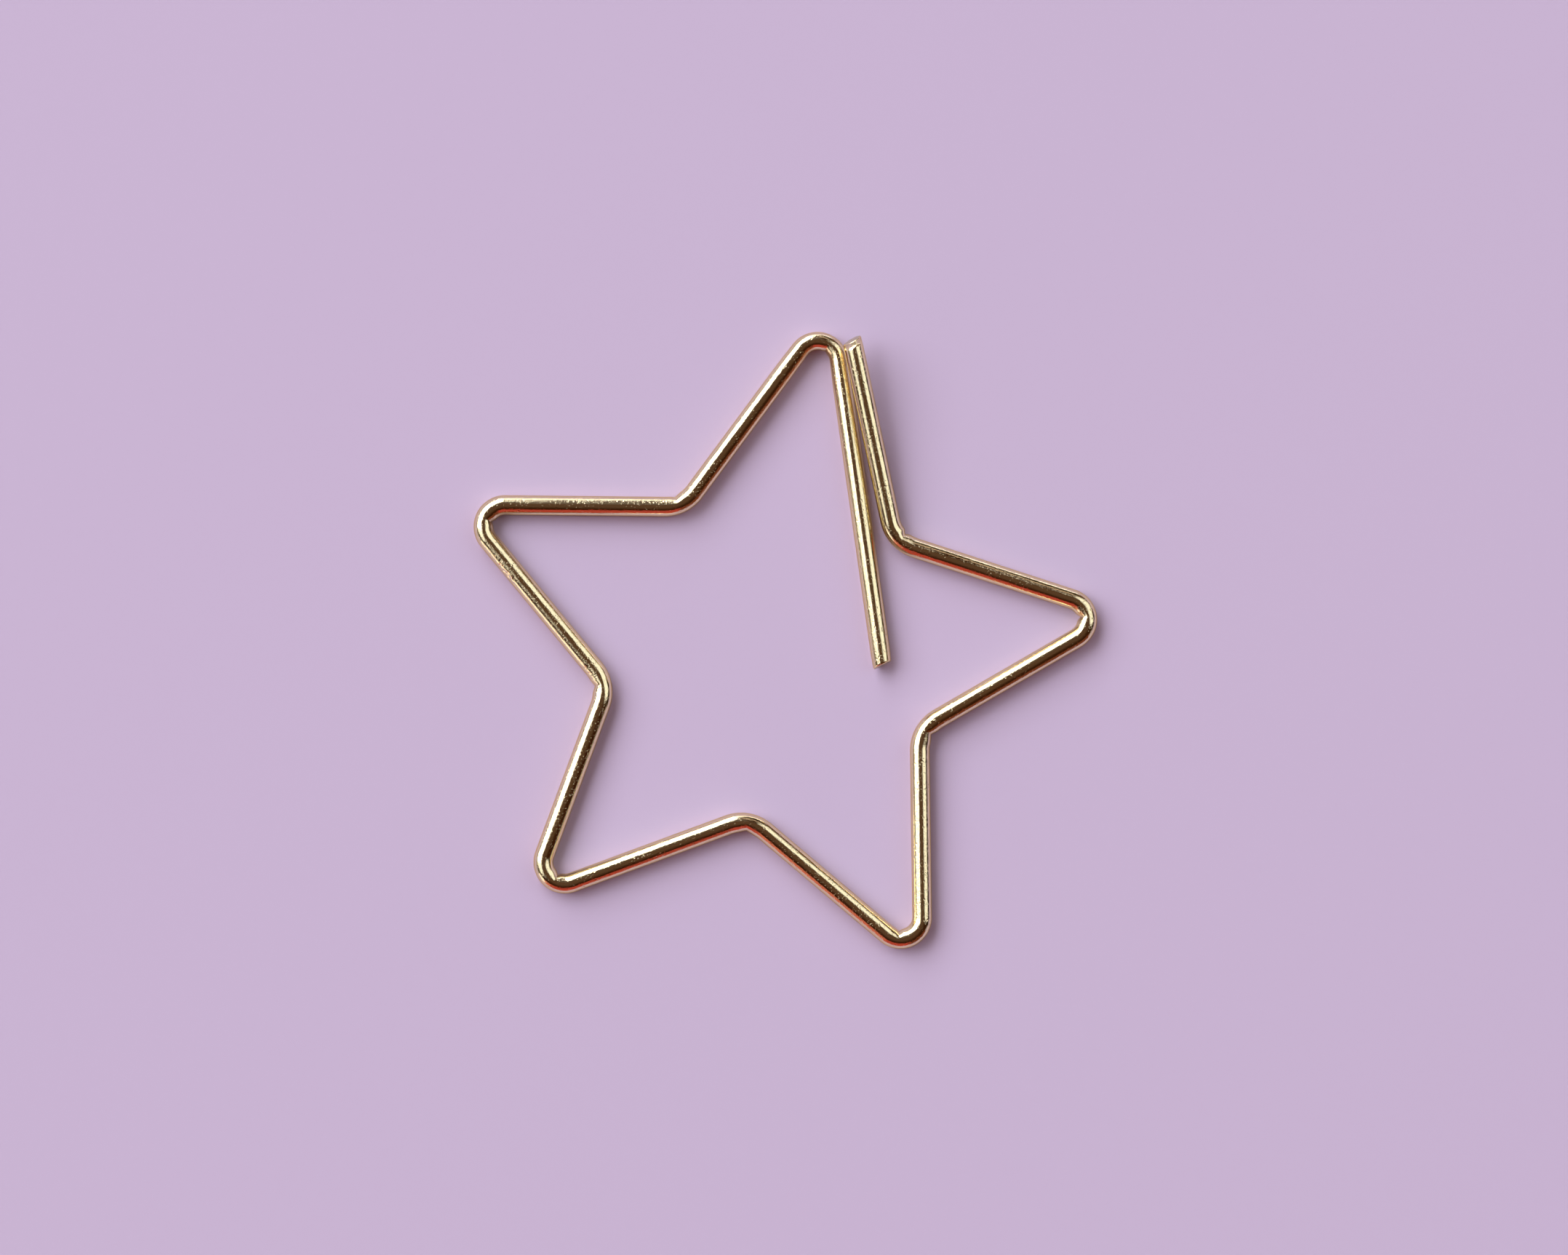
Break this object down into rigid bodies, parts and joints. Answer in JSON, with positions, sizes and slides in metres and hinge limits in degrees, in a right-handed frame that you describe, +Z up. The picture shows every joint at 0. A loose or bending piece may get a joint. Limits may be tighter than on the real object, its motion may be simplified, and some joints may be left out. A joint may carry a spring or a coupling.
{
  "type": "star paper clip",
  "caption": "Star-shaped paper clip of bent gold-coloured wire: a sprung star outline grips sheets against a straight leg inside it.",
  "frame": {"origin": "on the surface the clip lies on, under the middle of its bounding box", "axes": "+Z up, away from the surface; +Y towards the top point, where the leg leaves the star; +X to the right of the star seen from above"},
  "size_m": [0.0322, 0.0306, 0.0021],
  "materials": {
    "gold_wire": "polished gold-coloured plating on steel wire, with fine drawing lines, small pits and sheared wire ends"
  },
  "bodies": {
    "leg": {"inner_leg": "gold_wire"},
    "outline": {"star_outline": "gold_wire"}
  },
  "joints": [
    {"name": "clip_opening", "type": "hinge", "parent": "leg", "child": "outline", "pos_m": [-0.00011, 0.01463, 0.0005], "axis": [-1, 0, 0], "range_deg": [0, 12], "stiffness_Nm_per_rad": 0.24}
  ]
}
